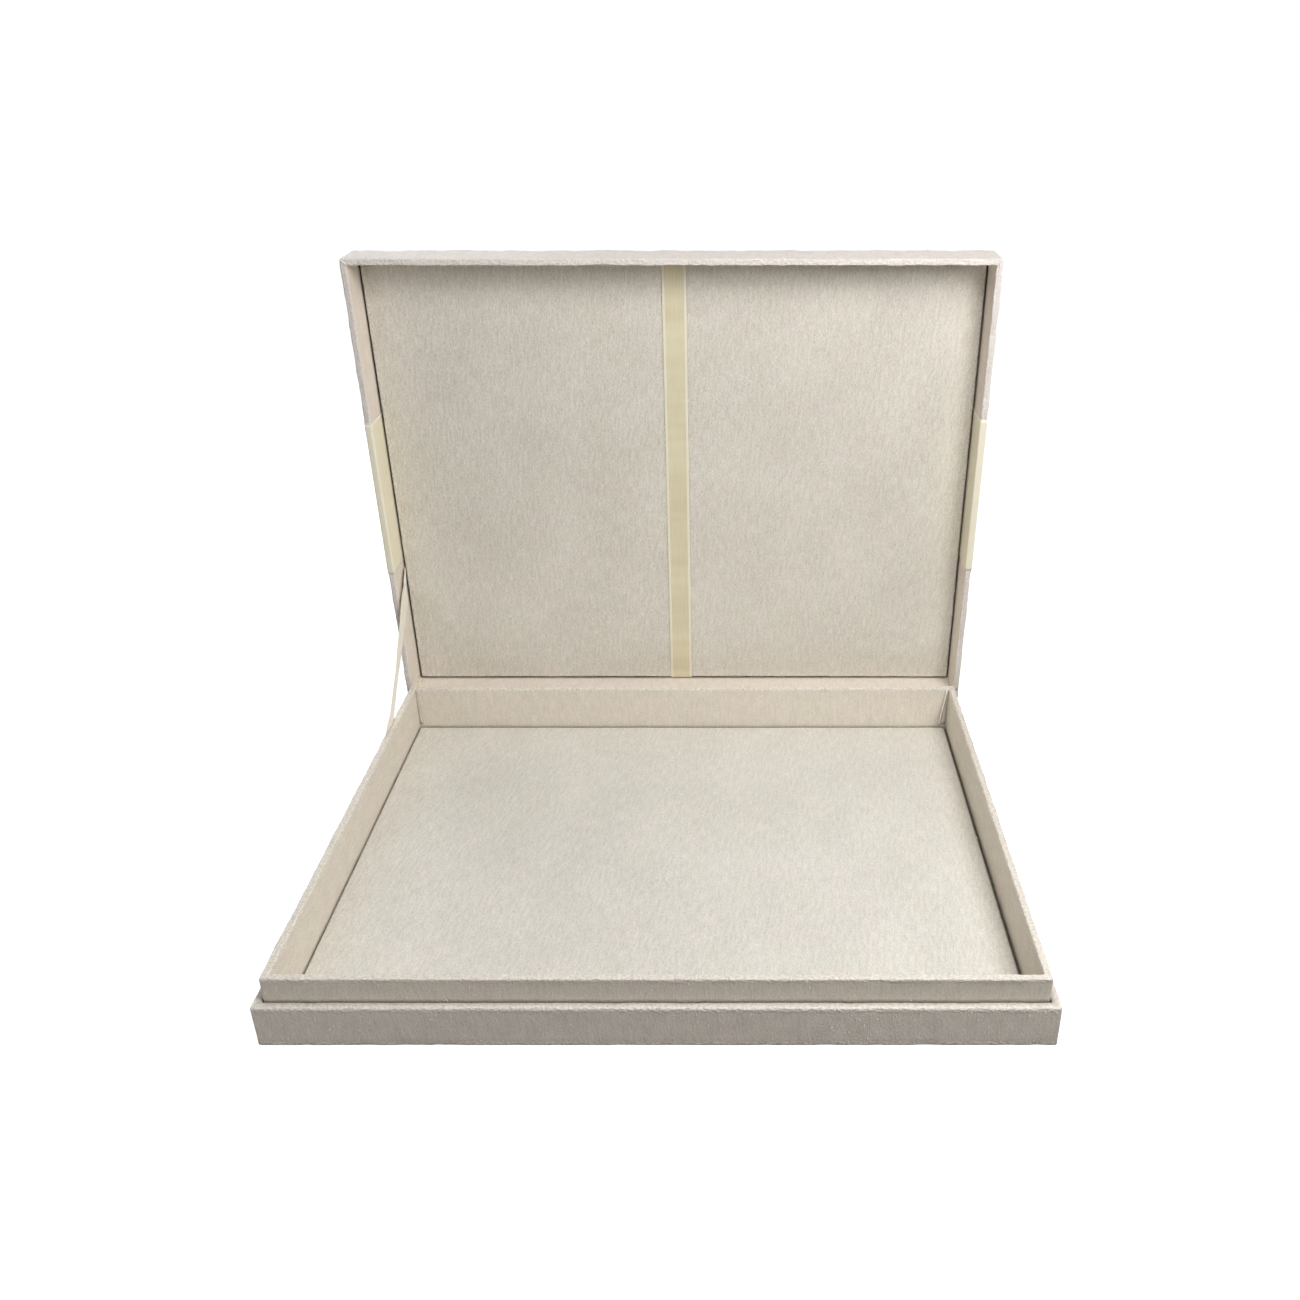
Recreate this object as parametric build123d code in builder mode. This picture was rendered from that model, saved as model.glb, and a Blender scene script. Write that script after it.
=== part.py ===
"""Hinged presentation box: greyboard shells covered in silk, a collar, padded panels and ribbons.

The origin is the centre of the underside, X runs along the hinge, Y to the back and Z up.
The lid is drawn open, leaning on its stay ribbon. All sizes are in millimetres.
"""
from build123d import *
from math import cos, radians, sin
import os

os.makedirs("parts", exist_ok=True)

# ---- Outside ----
box_width = 264.0
box_depth = 204.0
base_height = 16.5           # underside to the ledge that the lid closes on
collar_rise = 9.2            # collar above the ledge
lid_height = 19.4            # hinge line to the lid's outer top when it is closed
open_angle = 88.0            # turned back from closed, where the stay ribbon is tight

# ---- Sheet materials ----
base_board = 2.4
collar_board = 2.0
lid_board = 1.9
silk = 0.35                  # paper-backed silk with its glue
silk_arris = 0.5             # rounding of every covered edge
sheet_paper = 0.25
pad_card = 0.8
base_wadding = 1.7
lid_wadding = 1.0
ribbon = 0.25                # satin ribbon, thickness

# ---- Turn-ins, seams and clearances ----
floor_turn_in = 15.0         # silk turned under the floor
pad_turn_in = 12.0           # silk turned under each pad
sheet_inset = 4.0            # underside sheet, back from the box's edges
collar_turn_down = 7.0       # silk down the outside of the collar, below the ledge
hinge_inset = 1.5            # hinge cloth, back from the corners and the far edges
glue_gap = 0.1               # between the lined shell and the collar
seat_gap = 0.1               # between the band ribbon and the ledge when closed
base_pad_gap = 0.8           # between a padded panel and the walls round it
lid_pad_gap = 1.0

# ---- Crown of the padded panels ----
crown_width = 9.0
base_crown = 0.9
lid_crown = 0.6
pad_arris = 0.5              # rounding of the silk where a pad's top meets its sides

# ---- Ribbons ----
band_width = 70.0
band_from_hinge = 66.0
narrow_width = 10.0          # keeper and stay
keeper_offset = 0.6          # left of the middle
stay_from_hinge_base = 51.0  # hinge line to the middle of the stay, on the ledge
stay_from_hinge_lid = 60.0   # the same at the stay's end in the lid

# ---- Levels and wall thicknesses that follow ----
floor_bottom = sheet_paper + silk
floor_top = floor_bottom + base_board
collar_top = base_height + collar_rise
shell_wall = silk + base_board + silk
collar_out = shell_wall + glue_gap
collar_wall = silk + collar_board + silk
cavity_edge = collar_out + collar_wall
lid_wall = silk + lid_board + silk
lid_rim = ribbon + seat_gap
lid_board_under = lid_height - silk - lid_board

# ---- Planes ----
# In the lid's plane, local y runs back to the hinge line and local z from the rim to the top.
rim_to_top = Vector(0, sin(radians(open_angle)), cos(radians(open_angle)))
hinge_to_front = Vector(0, -cos(radians(open_angle)), sin(radians(open_angle)))
hinge_point = Vector(0, box_depth / 2, base_height)
base_frame = Plane.XY
lid_frame = Plane(
    origin=hinge_point + hinge_to_front * (box_depth / 2),
    x_dir=(1, 0, 0),
    z_dir=rim_to_top,
)
lid_pad_frame = Plane(
    origin=lid_frame.origin + rim_to_top * lid_board_under,
    x_dir=(1, 0, 0),
    z_dir=-rim_to_top,
)


def save(piece, node):
    """Label one piece and write it out."""
    piece.part.label = node
    export_step(piece.part, f"parts/{node}.step")


def sheet(node, frame, bottom, thickness, width, depth):
    """A flat sheet of board or card, centred on its frame."""
    with BuildPart() as piece:
        with BuildSketch(frame.offset(bottom)):
            Rectangle(width, depth)
        extrude(amount=thickness)
    save(piece, node)


def wall_boards(prefix, frame, bottom, top, inset, board):
    """Four wall boards: front and rear run right across, left and right butt between them."""
    long_place = (box_depth - board) / 2 - inset
    short_place = (box_width - board) / 2 - inset
    long_size = (box_width - 2 * inset, board)
    short_size = (board, box_depth - 2 * inset - 2 * board)
    walls = {
        "front": ((0, -long_place), long_size),
        "rear": ((0, long_place), long_size),
        "left": ((-short_place, 0), short_size),
        "right": ((short_place, 0), short_size),
    }
    for side, (place, size) in walls.items():
        with BuildPart() as wall:
            with BuildSketch(frame.offset(bottom)):
                with Locations(place):
                    Rectangle(*size)
            extrude(amount=top - bottom)
        save(wall, f"{prefix}_{side}_board" if prefix == "collar" else f"{prefix}_{side}_wall_board")


def make_base_silk():
    """Silk round the base's walls, over the ledge, down inside them and under the floor."""
    with BuildPart() as cover:
        with BuildSketch(base_frame.offset(sheet_paper)):
            Rectangle(box_width, box_depth)
        extrude(amount=base_height - sheet_paper)
        fillet(cover.edges(), radius=silk_arris)
        # the space inside the lined walls
        with BuildSketch(base_frame.offset(floor_top)):
            Rectangle(box_width - 2 * shell_wall, box_depth - 2 * shell_wall)
        extrude(amount=base_height - floor_top, mode=Mode.SUBTRACT)
        # the wall boards
        with BuildSketch(base_frame.offset(floor_top)):
            Rectangle(box_width - 2 * silk, box_depth - 2 * silk)
            board_inside = 2 * (silk + base_board)
            Rectangle(box_width - board_inside, box_depth - board_inside, mode=Mode.SUBTRACT)
        extrude(amount=base_height - silk - floor_top, mode=Mode.SUBTRACT)
        # the floor board
        with BuildSketch(base_frame.offset(floor_bottom)):
            Rectangle(box_width - 2 * silk, box_depth - 2 * silk)
        extrude(amount=base_board, mode=Mode.SUBTRACT)
        # the silk stops a turn-in's width under the floor
        with BuildSketch(base_frame.offset(sheet_paper)):
            Rectangle(box_width - 2 * floor_turn_in, box_depth - 2 * floor_turn_in)
        extrude(amount=silk, mode=Mode.SUBTRACT)
        # the hinge cloth takes the silk's place across the back
        with BuildSketch(base_frame.offset(sheet_paper + hinge_inset)):
            with Locations((0, (box_depth - silk) / 2)):
                Rectangle(box_width - 2 * hinge_inset, silk)
        extrude(amount=base_height - sheet_paper - hinge_inset, mode=Mode.SUBTRACT)
    save(cover, "base_silk_cover")


def make_underside_sheet():
    """Paper over the underside: it laps the turned-in silk and sinks to the board inside it."""
    with BuildPart() as paper:
        with BuildSketch(base_frame):
            Rectangle(box_width - 2 * sheet_inset, box_depth - 2 * sheet_inset)
        extrude(amount=sheet_paper)
        with BuildSketch(base_frame.offset(sheet_paper)):
            Rectangle(box_width - 2 * floor_turn_in, box_depth - 2 * floor_turn_in)
        extrude(amount=silk)
    save(paper, "base_underside_sheet")


def make_collar_silk():
    """Silk up the inside of the collar, over its top and down outside past the ledge."""
    turn_end = base_height - collar_turn_down
    out_width = box_width - 2 * collar_out
    out_depth = box_depth - 2 * collar_out
    with BuildPart() as cover:
        with BuildSketch(base_frame.offset(floor_top)):
            Rectangle(out_width, out_depth)
        extrude(amount=collar_top - floor_top)
        fillet(cover.edges().filter_by(Axis.Z), radius=silk_arris)
        # the tray's inside
        with BuildSketch(base_frame.offset(floor_top)):
            Rectangle(box_width - 2 * cavity_edge, box_depth - 2 * cavity_edge)
        extrude(amount=collar_top - floor_top, mode=Mode.SUBTRACT)
        fillet(cover.faces().sort_by(Axis.Z)[-1].edges(), radius=silk_arris)
        # the collar boards
        with BuildSketch(base_frame.offset(floor_top)):
            Rectangle(out_width - 2 * silk, out_depth - 2 * silk)
            board_inside = 2 * (silk + collar_board)
            Rectangle(out_width - board_inside, out_depth - board_inside, mode=Mode.SUBTRACT)
        extrude(amount=collar_top - silk - floor_top, mode=Mode.SUBTRACT)
        # bare board outside, below the end of the turn-down
        with BuildSketch(base_frame.offset(floor_top)):
            Rectangle(out_width, out_depth)
            Rectangle(out_width - 2 * silk, out_depth - 2 * silk, mode=Mode.SUBTRACT)
        extrude(amount=turn_end - floor_top, mode=Mode.SUBTRACT)
    save(cover, "collar_silk")


def make_lid_silk():
    """Silk over the lid's top and walls, round the rim and up the inside of the walls."""
    lid_axis = Axis(lid_frame.origin, rim_to_top)
    with BuildPart() as cover:
        with BuildSketch(lid_frame.offset(lid_rim)):
            Rectangle(box_width, box_depth)
        extrude(amount=lid_height - lid_rim)
        fillet(cover.edges(), radius=silk_arris)
        # the space inside the lined walls
        with BuildSketch(lid_frame.offset(lid_rim)):
            Rectangle(box_width - 2 * lid_wall, box_depth - 2 * lid_wall)
        extrude(amount=lid_board_under - lid_rim, mode=Mode.SUBTRACT)
        rim_face = cover.faces().sort_by(lid_axis)[0]
        fillet(rim_face.inner_wires().edges(), radius=silk_arris)
        # the wall boards
        with BuildSketch(lid_frame.offset(lid_rim + silk)):
            Rectangle(box_width - 2 * silk, box_depth - 2 * silk)
            board_inside = 2 * (silk + lid_board)
            Rectangle(box_width - board_inside, box_depth - board_inside, mode=Mode.SUBTRACT)
        extrude(amount=lid_board_under - lid_rim - silk, mode=Mode.SUBTRACT)
        # the top board
        with BuildSketch(lid_frame.offset(lid_board_under)):
            Rectangle(box_width - 2 * silk, box_depth - 2 * silk)
        extrude(amount=lid_board, mode=Mode.SUBTRACT)
        # the hinge cloth takes the silk's place across the back
        with BuildSketch(lid_frame.offset(lid_rim)):
            with Locations((0, (box_depth - silk) / 2)):
                Rectangle(box_width - 2 * hinge_inset, silk)
        extrude(amount=lid_height - lid_rim - hinge_inset, mode=Mode.SUBTRACT)
    save(cover, "lid_silk_cover")


def make_pad(prefix, frame, width, depth, wadding_height, crown):
    """A padded panel: card, wadding that slopes off to its edges, and silk drawn round both."""
    card_width = width - 2 * silk
    card_depth = depth - 2 * silk
    wadding_base = silk + pad_card
    shoulder = wadding_base + wadding_height - crown
    sheet(f"{prefix}_pad_card", frame, silk, pad_card, card_width, card_depth)

    with BuildPart() as wadding:
        with BuildSketch(frame.offset(wadding_base)):
            Rectangle(card_width, card_depth)
        extrude(amount=wadding_height - crown)
        with BuildSketch(frame.offset(shoulder)):
            Rectangle(card_width, card_depth)
        with BuildSketch(frame.offset(shoulder + crown)):
            Rectangle(card_width - 2 * crown_width, card_depth - 2 * crown_width)
        loft()
    save(wadding, f"{prefix}_pad_wadding")

    with BuildPart() as cover:
        with BuildSketch(frame):
            Rectangle(width, depth)
        extrude(amount=shoulder + silk)
        with BuildSketch(frame.offset(shoulder + silk)):
            Rectangle(width, depth)
        with BuildSketch(frame.offset(shoulder + silk + crown)):
            Rectangle(width - 2 * crown_width, depth - 2 * crown_width)
        loft()
        out_of_card = Axis(frame.origin, frame.z_dir)
        edge_lines = cover.edges().filter_by_position(out_of_card, shoulder, shoulder + 1.1 * silk)
        fillet(edge_lines, radius=pad_arris)
        with BuildSketch(frame.offset(silk)):
            Rectangle(card_width, card_depth)
        extrude(amount=pad_card, mode=Mode.SUBTRACT)
        add(wadding.part, mode=Mode.SUBTRACT)
        # the silk stops a turn-in's width under the card
        with BuildSketch(frame):
            Rectangle(width - 2 * pad_turn_in, depth - 2 * pad_turn_in)
        extrude(amount=silk, mode=Mode.SUBTRACT)
    save(cover, f"{prefix}_pad_silk")


def make_keeper_ribbon():
    """Narrow satin ribbon over the lid's pad from back to front, both ends tucked beside it."""
    across = Plane(origin=lid_pad_frame.origin, x_dir=hinge_to_front, z_dir=(1, 0, 0))
    half_pad = box_depth / 2 - lid_wall - lid_pad_gap
    edge = half_pad + ribbon / 2
    shoulder = silk + pad_card + lid_wadding - lid_crown + silk + ribbon / 2
    face = shoulder + lid_crown
    half_route = [(0, face), (half_pad - crown_width, face), (edge, shoulder), (edge, 0)]
    with BuildPart() as keeper:
        with BuildSketch(across.offset(-keeper_offset)):
            with BuildLine():
                FilletPolyline(*half_route, radius=pad_arris + ribbon / 2)
            trace(line_width=ribbon)
            mirror(about=Plane.YZ)
        extrude(amount=narrow_width / 2, both=True)
    save(keeper, "keeper_ribbon")


def make_band_ribbon():
    """Wide satin ribbon across the lid's top, down its sides and over the rims into the lid."""
    along = Plane(origin=hinge_point, x_dir=(1, 0, 0), z_dir=hinge_to_front)
    side = box_width / 2 + ribbon / 2
    inside = box_width / 2 - lid_wall - ribbon / 2
    top = lid_height + ribbon / 2
    rim = lid_rim - ribbon / 2
    half_route = [(0, top), (side, top), (side, rim), (inside, rim), (inside, lid_board_under)]
    with BuildPart() as band:
        with BuildSketch(along.offset(band_from_hinge)):
            with BuildLine():
                FilletPolyline(*half_route, radius=silk_arris + ribbon / 2)
            trace(line_width=ribbon)
            mirror(about=Plane.YZ)
        extrude(amount=band_width)
    save(band, "band_ribbon")


def make_hinge_cloth():
    """One strip of silk down the back of both halves; it folds about the hinge line."""
    fold = Vector(box_depth / 2, base_height)
    lid_way = Vector(rim_to_top.Y, rim_to_top.Z)
    inward = Vector(hinge_to_front.Y, hinge_to_front.Z)
    half_fold = radians(180 - open_angle / 2)
    leaf_end = fold + lid_way * (lid_height - hinge_inset)
    leaf_bottom = sheet_paper + hinge_inset
    with BuildPart() as cloth:
        with BuildSketch(Plane.YZ):
            with BuildLine():
                Polyline(
                    (fold.X - silk, fold.Y),
                    (fold.X - silk, leaf_bottom),
                    (fold.X, leaf_bottom),
                    fold,
                    leaf_end,
                    leaf_end + inward * silk,
                    fold + inward * silk,
                )
                ThreePointArc(
                    fold + inward * silk,
                    fold + Vector(cos(half_fold), sin(half_fold)) * silk,
                    (fold.X - silk, fold.Y),
                )
            make_face()
        extrude(amount=box_width / 2 - hinge_inset, both=True)
    save(cloth, "hinge_cloth")


def make_stay_ribbon():
    """Narrow satin ribbon, tight from the collar's left side to the slot beside the lid's pad."""
    ledge_way = Vector(1, 0)
    lid_way = Vector(hinge_to_front.Y, hinge_to_front.Z)
    low = Vector(box_depth / 2 - stay_from_hinge_base, base_height)
    slot = hinge_point + hinge_to_front * stay_from_hinge_lid + rim_to_top * (lid_board_under - silk)
    high = Vector(slot.Y, slot.Z)
    run = (high - low).normalized()
    low_half = ledge_way * (narrow_width / 2 / run.cross(ledge_way).length)
    high_half = lid_way * (narrow_width / 2 / run.cross(lid_way).length)
    with BuildPart() as stay:
        with BuildSketch(Plane.YZ.offset(collar_out - ribbon - box_width / 2)):
            with BuildLine():
                Polyline(low - low_half, low + low_half, high - high_half, high + high_half, close=True)
            make_face()
        extrude(amount=ribbon)
    save(stay, "stay_ribbon")


# ---- Base ----
inner_width = box_width - 2 * silk
inner_depth = box_depth - 2 * silk
sheet("base_floor_board", base_frame, floor_bottom, base_board, inner_width, inner_depth)
wall_boards("base", base_frame, floor_top, base_height - silk, silk, base_board)
wall_boards("collar", base_frame, floor_top, collar_top - silk, collar_out + silk, collar_board)
make_base_silk()
make_underside_sheet()
make_collar_silk()
make_pad(
    "base",
    base_frame.offset(floor_top),
    box_width - 2 * (cavity_edge + base_pad_gap),
    box_depth - 2 * (cavity_edge + base_pad_gap),
    base_wadding,
    base_crown,
)

# ---- Lid ----
sheet("lid_top_board", lid_frame, lid_board_under, lid_board, inner_width, inner_depth)
wall_boards("lid", lid_frame, lid_rim + silk, lid_board_under, silk, lid_board)
make_lid_silk()
make_pad(
    "lid",
    lid_pad_frame,
    box_width - 2 * (lid_wall + lid_pad_gap),
    box_depth - 2 * (lid_wall + lid_pad_gap),
    lid_wadding,
    lid_crown,
)
make_keeper_ribbon()
make_band_ribbon()

# ---- Between base and lid ----
make_hinge_cloth()
make_stay_ribbon()
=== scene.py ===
"""Dresses the hinged, silk-covered presentation box: silk, padded panels, satin ribbons, floor and light.

Lengths are written in millimetres and turned to metres where a mesh is made. A "wrap" is cloth drawn
round a rectangle: its section is a row of (inset from the outside, height) points.
"""
from math import ceil, cos, pi, radians, sin, tan

import bmesh
import bpy
from mathutils import Matrix, Vector, noise


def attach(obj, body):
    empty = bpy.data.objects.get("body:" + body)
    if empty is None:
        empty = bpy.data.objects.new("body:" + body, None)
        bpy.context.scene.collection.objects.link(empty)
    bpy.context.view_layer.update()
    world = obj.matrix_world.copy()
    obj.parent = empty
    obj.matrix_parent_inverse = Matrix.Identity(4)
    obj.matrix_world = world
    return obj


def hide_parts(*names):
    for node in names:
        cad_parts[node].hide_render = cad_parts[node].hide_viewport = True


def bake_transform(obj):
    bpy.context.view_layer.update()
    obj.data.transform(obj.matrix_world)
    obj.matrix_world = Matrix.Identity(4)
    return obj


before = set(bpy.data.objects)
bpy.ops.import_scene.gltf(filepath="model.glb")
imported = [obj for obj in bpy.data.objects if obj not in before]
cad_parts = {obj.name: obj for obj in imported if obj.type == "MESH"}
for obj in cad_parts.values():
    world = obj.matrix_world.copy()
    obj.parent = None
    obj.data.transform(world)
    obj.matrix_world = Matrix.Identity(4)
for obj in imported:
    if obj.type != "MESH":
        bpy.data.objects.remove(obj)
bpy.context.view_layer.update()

MM = 0.001
scene = bpy.context.scene

# ---- The box, as it is in the CAD source ----
HALF_X, HALF_Y = 132.0, 102.0
LEDGE = 16.5
COLLAR_TOP = 25.7
FLOOR_TOP = 3.0
SILK = 0.35
COLLAR_OUT, CAVITY = 3.38, 5.9
LID_RIM, LID_WALL, LID_UNDER, LID_TOP = 0.35, 2.6, 17.15, 19.4
RIBBON = 0.25
OPEN = radians(88)

# Base pieces are made where they stand. Lid pieces are made lying over the base as when closed, rim down,
# with their heights measured from the hinge line, and are then turned open about that line.
X_WAY, Y_WAY, Z_WAY = Matrix.Identity(3)
HINGE_LINE = Vector((0, HALF_Y, LEDGE))
AT_LID = Matrix.Translation(HINGE_LINE) @ Matrix.Rotation(-OPEN, 4, "X") @ Matrix.Translation((0, -HALF_Y, 0))
PLACES = {"base": Matrix.Identity(4), None: Matrix.Identity(4), "lid": AT_LID}


def srgb(code):
    """A hex colour as the linear values that shaders take."""
    parts = [int(code[i:i + 2], 16) / 255 for i in (0, 2, 4)]
    return tuple(c / 12.92 if c <= 0.04045 else ((c + 0.055) / 1.055) ** 2.4 for c in parts) + (1.0,)


MATH, MIX, MAP_RANGE = "ShaderNodeMath", "ShaderNodeMix", "ShaderNodeMapRange"    # the commonest nodes


def add(tree, kind, inputs=None, **settings):
    """Adds a node with its settings. Its inputs get values, outputs, or nodes for their first output in use."""
    node = tree.nodes.new(kind)
    for name, value in settings.items():
        setattr(node, name, value)
    for name, value in (inputs or {}).items():
        if isinstance(value, bpy.types.Node):
            value = next(output for output in value.outputs if output.enabled)
        if isinstance(value, bpy.types.NodeSocket):
            tree.links.new(value, node.inputs[name])
        else:
            node.inputs[name].default_value = value
    return node


def weighted_sum(tree, parts):
    """Several outputs added up, each times its weight."""
    total = 0.0
    for part, weight in parts:
        total = add(tree, MATH, {0: part, 1: weight, 2: total}, operation="MULTIPLY_ADD")
    return total


def seen_directly(tree):
    """1 for what the camera sees, also in a mirror or through glass, and 0 for light that falls on things."""
    ray = add(tree, "ShaderNodeLightPath").outputs
    seen = add(tree, MATH, {0: ray["Is Camera Ray"], 1: ray["Is Glossy Ray"]}, operation="MAXIMUM")
    return add(tree, MATH, {0: seen, 1: ray["Is Transmission Ray"]}, operation="MAXIMUM")


def add_object(name, data):
    """An object in the scene that shows some data."""
    thing = bpy.data.objects.new(name, data)
    scene.collection.objects.link(thing)
    return thing


# ---- Materials ----

def start_material(name):
    """An empty material and its node tree."""
    material = bpy.data.materials.new(name)
    material.use_nodes = True
    material.node_tree.nodes.clear()
    return material, material.node_tree


def finish_material(material, shader):
    add(material.node_tree, "ShaderNodeOutputMaterial", {"Surface": shader})
    return material


def threads(tree, cloth, across_mm, along_mm, lean, detail, offset=0.0):
    """Noise drawn out along the yarn: its grain is across_mm wide and along_mm long."""
    turned = add(tree, "ShaderNodeMapping", {"Vector": cloth, "Rotation": (0, 0, radians(lean))})
    drawn = add(tree, "ShaderNodeMapping", {
        "Vector": turned, "Location": (offset, offset, 0),
        "Scale": (1 / (across_mm * MM), 1 / (along_mm * MM), 1),
    })
    return add(tree, "ShaderNodeTexNoise", {"Vector": drawn, "Scale": 1.0, "Detail": detail},
               noise_dimensions="2D")


def dupioni_silk(name, pale, deep, lean, grain, cloud_mm, cloudy, crease_mm, creased):
    """Dupioni silk: a plain weave of fine warp and uneven, slubbed weft, paper-backed and glued down.

    The eye gets a matt off-white with a low lustre, a fine broken grain that leans with the weft, short
    bright slubs in clusters, and rubbed, paler yarn along the arrises, partly a painted highlight. Creases,
    where panels and walls meet, are darkened by ambient occlusion: painted shade. A mark paints shade on the
    ledge by the collar's foot, and another paints warm reflected light on the lid's inner walls.
    The real threads are 0.2 mm apart, too fine for the picture, so the finest grain is drawn 0.5 mm wide.
    grain and cloudy say how much the yarns and the clouds show, and creased how dark the painted shade in creases
    is.
    """
    material, tree = start_material(name)
    cloth = add(tree, "ShaderNodeUVMap", uv_map="cloth")
    arris, tucked, pasted = [add(tree, "ShaderNodeAttribute", attribute_name=mark).outputs["Fac"]
                             for mark in ("arris", "tucked", "pasted")]
    weft, warp, slubs, clusters, knots, clouds, tint, rubbed = [
        threads(tree, cloth, across, along, lean, detail, offset) for across, along, detail, offset in (
            (0.5, 1.5, 2, 0), (0.9, 0.5, 1, 3.1), (1.2, 6, 2, 7.7), (5, 8, 1, 2.9), (0.55, 1.3, 1, 5.3),
            (cloud_mm, cloud_mm * 1.5, 2, 1.7), (13, 17, 1, 9.1), (1.3, 1, 2, 6.6),
        )
    ]
    parts = ((weft, 0.6 * grain), (warp, 0.45 * grain), (slubs, 0.5 * grain), (clouds, cloudy))
    middle, swing = 0.5 * sum(weight for _, weight in parts), 0.29
    shade = add(tree, MAP_RANGE, {
        "Value": weighted_sum(tree, parts), "From Min": middle - swing, "From Max": middle + swing,
    })
    body = add(tree, MIX, {0: shade, 6: srgb(deep), 7: srgb(pale)}, data_type="RGBA")
    tint_share, knot, cluster, rub_and_highlight = [
        add(tree, MAP_RANGE, {"Value": yarn, "From Min": low, "From Max": high}) for yarn, low, high in (
            (tint, 0.35, 0.65), (knots, 0.62, 0.78), (clusters, 0.42, 0.66), (rubbed, 0.36, 0.62),
        )
    ]
    cast = add(tree, MIX, {0: tint_share, 6: (0.992, 1.0, 0.99, 1), 7: (1.006, 0.994, 0.998, 1)},
               data_type="RGBA")
    tinted = add(tree, MIX, {0: 1.0, 6: body, 7: cast}, data_type="RGBA", blend_type="MULTIPLY")
    flecks = add(tree, MATH, {0: knot, 1: cluster}, operation="MULTIPLY")
    # Rubbed, paler yarn along the arrises, partly a painted highlight where the edges catch the light.
    rub_and_highlight = add(tree, MATH, {0: rub_and_highlight, 1: arris}, operation="MULTIPLY")
    bright = weighted_sum(tree, ((flecks, 0.6), (rub_and_highlight, 0.75)))
    clean = add(tree, MIX, {0: bright, 6: tinted, 7: srgb("FFFCF6")}, data_type="RGBA")
    # Painted shade: ambient occlusion darkens the colour towards 574A38 in creases and corners, and a mark
    # darkens the ledge by the collar's foot.
    open_side = add(tree, "ShaderNodeAmbientOcclusion", {"Distance": crease_mm * MM}, samples=4).outputs["AO"]
    crease = add(tree, MAP_RANGE, {
        "Value": open_side, "From Min": 0.25, "From Max": 0.95, "To Min": creased, "To Max": 0.0,
    })
    painted_shade = add(tree, MATH, {0: crease, 1: tucked}, operation="MAXIMUM")
    # Painted warm reflected light: the lid's inner walls are made a little yellower.
    warm = add(tree, MIX, {0: pasted, 6: clean, 7: srgb("FFFCF5")}, data_type="RGBA", blend_type="MULTIPLY")
    colour = add(tree, MIX, {0: painted_shade, 6: warm, 7: srgb("574A38")}, data_type="RGBA")
    relief = weighted_sum(tree, ((weft, 0.5), (warp, 0.35), (slubs, 0.45), (flecks, 0.6), (rub_and_highlight, 0.9)))
    bump = add(tree, "ShaderNodeBump", {"Height": relief, "Strength": 0.9, "Distance": 0.24 * MM})
    rough = add(tree, MAP_RANGE, {
        "Value": weft, "From Min": 0.2, "From Max": 0.8, "To Min": 0.72, "To Max": 0.55,
    })
    shader = add(tree, "ShaderNodeBsdfPrincipled", {
        "Base Color": colour, "Roughness": rough, "Specular IOR Level": 0.35, "Normal": bump,
        "Sheen Weight": 0.12, "Sheen Roughness": 0.4, "Sheen Tint": srgb("FFF9EF"),
    })
    return finish_material(material, shader)


RIB = 0.6    # from one rib of a selvedge to the next


def satin_ribbon(name, width_mm, pale, deep, sheen):
    """Polyester satin ribbon: long floats of weft-hidden warp between two woven selvedges.

    It shines along its length, has a paler ribbed edge 1 mm wide on each side, and faint threads lengthwise.
    Where it is pressed round a rim, the flattened floats catch the light as a pale line, painted into its colour.
    The UV map holds the length and the distance from one edge. Real warp threads are 0.1 mm apart; 0.35 here.
    """
    material, tree = start_material(name)
    cloth = add(tree, "ShaderNodeUVMap", uv_map="cloth")
    parts = add(tree, "ShaderNodeSeparateXYZ", {"Vector": cloth})
    from_middle = add(tree, MATH, {0: parts.outputs[1], 1: width_mm * MM / 2}, operation="SUBTRACT")
    aside = add(tree, MATH, {0: from_middle}, operation="ABSOLUTE")
    selvedge = add(tree, MAP_RANGE, {
        "Value": aside, "From Min": (width_mm / 2 - 1.1) * MM, "From Max": (width_mm / 2 - 0.8) * MM,
    })
    warp = threads(tree, cloth, 14.0, 0.35, 0, 1.0)
    bands = threads(tree, cloth, 6.0, 60.0, 0, 1.0, 4.4)
    picks = add(tree, MATH, {0: parts, 1: 2 * pi / (RIB * MM)}, operation="MULTIPLY")
    ribs = add(tree, MATH, {0: picks}, operation="SINE")
    edge_ribs = add(tree, MATH, {0: ribs, 1: selvedge}, operation="MULTIPLY")
    yarns = add(tree, MATH, {0: warp, 1: bands}, operation="ADD")
    shade = add(tree, MAP_RANGE, {"Value": yarns, "From Min": 0.6, "From Max": 1.4})
    body = add(tree, MIX, {0: shade, 6: srgb(deep), 7: srgb(pale)}, data_type="RGBA")
    # painted highlight: a pale line where the ribbon bends round a rim
    fold = add(tree, "ShaderNodeAttribute", attribute_name="arris").outputs["Fac"]
    edge_share = weighted_sum(tree, ((selvedge, 0.75), (fold, 0.9)))
    colour = add(tree, MIX, {0: edge_share, 6: body, 7: srgb("FFFCEC")}, data_type="RGBA")
    relief = weighted_sum(tree, ((warp, 0.3), (edge_ribs, 0.25), (selvedge, 0.8)))
    bump = add(tree, "ShaderNodeBump", {"Height": relief, "Strength": 0.5, "Distance": 0.08 * MM})
    rough = add(tree, MAP_RANGE, {"Value": selvedge, "To Min": 0.36, "To Max": 0.55})
    shader = add(tree, "ShaderNodeBsdfPrincipled", {
        "Base Color": colour, "Roughness": rough, "Specular IOR Level": 0.5, "Normal": bump,
        "Anisotropic": 0.5, "Sheen Weight": sheen,
    })
    return finish_material(material, shader)


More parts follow.
